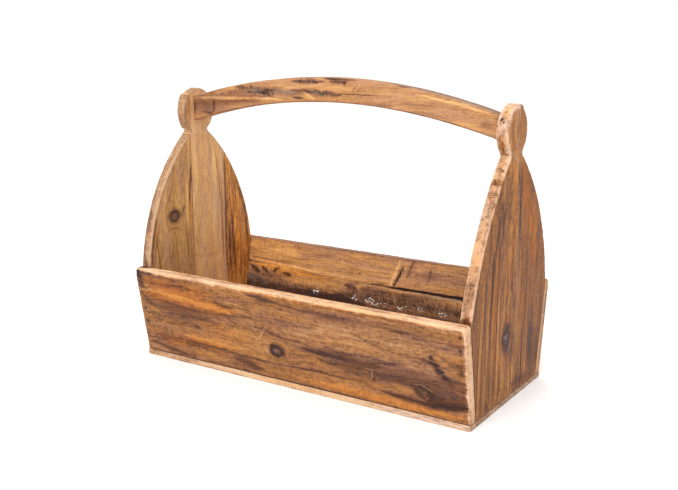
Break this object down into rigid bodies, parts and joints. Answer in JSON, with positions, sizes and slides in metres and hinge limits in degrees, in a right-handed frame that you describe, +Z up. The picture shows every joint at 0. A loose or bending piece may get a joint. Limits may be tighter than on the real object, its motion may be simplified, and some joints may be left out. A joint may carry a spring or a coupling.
{
  "type": "harvest crate",
  "caption": "Long open wooden crate with outward-leaning sides, end panels that rise to round ears, and a fixed arched carrying handle.",
  "frame": {"origin": "middle of the crate's footprint, on the surface that it stands on", "axes": "+X along the crate towards the right-hand end panel, +Y from front to rear, +Z up"},
  "size_m": [0.5, 0.2558, 0.3901],
  "materials": {
    "base_wood": "pale rough-sawn softwood with open end grain, unfinished",
    "side_wood": "reclaimed softwood, brushed and waxed, dark streaks and pale worn edges",
    "rear_wood": "reclaimed softwood with fine saw marks, stained dark low on the inside",
    "panel_wood": "edge-glued reclaimed softwood staves, brushed and waxed, pale worn edges",
    "handle_wood": "straight-grained softwood, waxed, with grey weathered patches",
    "nail_iron": "dull dark wire nail, set under the surface"
  },
  "bodies": {
    "root": {"base_front_board": "base_wood", "base_nail_front_1": "nail_iron", "base_nail_front_2": "nail_iron", "base_nail_front_3": "nail_iron", "base_nail_left_1": "nail_iron", "base_nail_left_2": "nail_iron", "base_nail_left_3": "nail_iron", "base_nail_rear_1": "nail_iron", "base_nail_rear_2": "nail_iron", "base_nail_rear_3": "nail_iron", "base_nail_right_1": "nail_iron", "base_nail_right_2": "nail_iron", "base_nail_right_3": "nail_iron", "base_rear_board": "base_wood", "front_board": "side_wood", "front_nail_left_1": "nail_iron", "front_nail_left_2": "nail_iron", "front_nail_left_3": "nail_iron", "front_nail_left_4": "nail_iron", "front_nail_right_1": "nail_iron", "front_nail_right_2": "nail_iron", "front_nail_right_3": "nail_iron", "front_nail_right_4": "nail_iron", "handle": "handle_wood", "handle_nail_left_1": "nail_iron", "handle_nail_left_2": "nail_iron", "handle_nail_right_1": "nail_iron", "handle_nail_right_2": "nail_iron", "left_front_ear_cheek": "panel_wood", "left_front_stave": "panel_wood", "left_middle_stave": "panel_wood", "left_rear_stave": "panel_wood", "rear_lower_board": "rear_wood", "rear_lower_nail_left_1": "nail_iron", "rear_lower_nail_left_2": "nail_iron", "rear_lower_nail_right_1": "nail_iron", "rear_lower_nail_right_2": "nail_iron", "rear_upper_board": "rear_wood", "rear_upper_nail_left_1": "nail_iron", "rear_upper_nail_left_2": "nail_iron", "rear_upper_nail_right_1": "nail_iron", "rear_upper_nail_right_2": "nail_iron", "right_front_stave": "panel_wood", "right_middle_stave": "panel_wood", "right_rear_stave": "panel_wood"}
  },
  "joints": []
}
